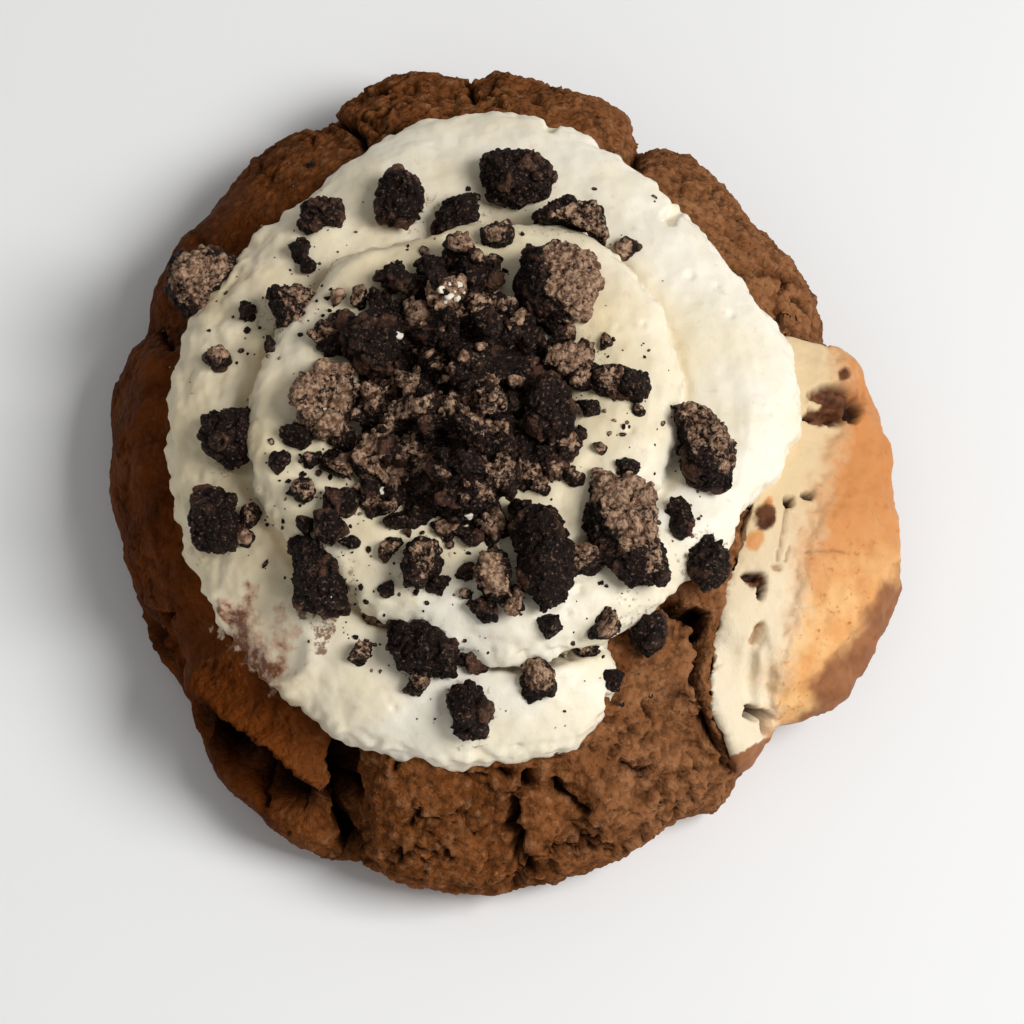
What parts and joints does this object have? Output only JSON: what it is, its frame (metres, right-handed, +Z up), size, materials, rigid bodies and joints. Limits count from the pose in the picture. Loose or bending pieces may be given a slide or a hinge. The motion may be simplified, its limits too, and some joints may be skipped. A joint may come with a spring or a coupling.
{
  "type": "cookies and cream cookie",
  "caption": "Thick round cracked chocolate cookie with pale dough baked into one side, topped with a spiral of piped cream, a heap of biscuit crumbs and broken chocolate biscuit.",
  "frame": {"origin": "middle of the base, on the surface the cookie lies on", "axes": "+Z up out of the base, +X to the right and +Y away from the viewer as the picture shows it"},
  "size_m": [0.096, 0.1074, 0.0402],
  "materials": {
    "chocolate_dough": "baked chocolate cookie dough, matte and cracked, softly shiny where it is smooth",
    "pale_dough": "pale cookie dough, ivory inside and toasted golden brown outside",
    "cream": "piped off-white cream, satin, with small dark crumbs pressed into it",
    "biscuit": "broken dark cocoa biscuit, matte and granular, dusty brown on the broken faces"
  },
  "bodies": {
    "root": {"chocolate_dough": "chocolate_dough", "pale_dough": "pale_dough", "cream_swirl": "cream", "crumb_heap": "biscuit", "biscuit_piece_01": "biscuit", "biscuit_piece_02": "biscuit", "biscuit_piece_03": "biscuit", "biscuit_piece_04": "biscuit", "biscuit_piece_05": "biscuit", "biscuit_piece_06": "biscuit", "biscuit_piece_07": "biscuit", "biscuit_piece_08": "biscuit", "biscuit_piece_09": "biscuit", "biscuit_piece_10": "biscuit", "biscuit_piece_11": "biscuit", "biscuit_piece_12": "biscuit", "biscuit_piece_13": "biscuit", "biscuit_piece_14": "biscuit", "biscuit_piece_15": "biscuit", "biscuit_piece_16": "biscuit", "biscuit_piece_17": "biscuit", "biscuit_piece_18": "biscuit", "biscuit_piece_19": "biscuit", "biscuit_piece_20": "biscuit", "biscuit_piece_21": "biscuit", "biscuit_piece_22": "biscuit", "biscuit_piece_23": "biscuit"}
  },
  "joints": []
}
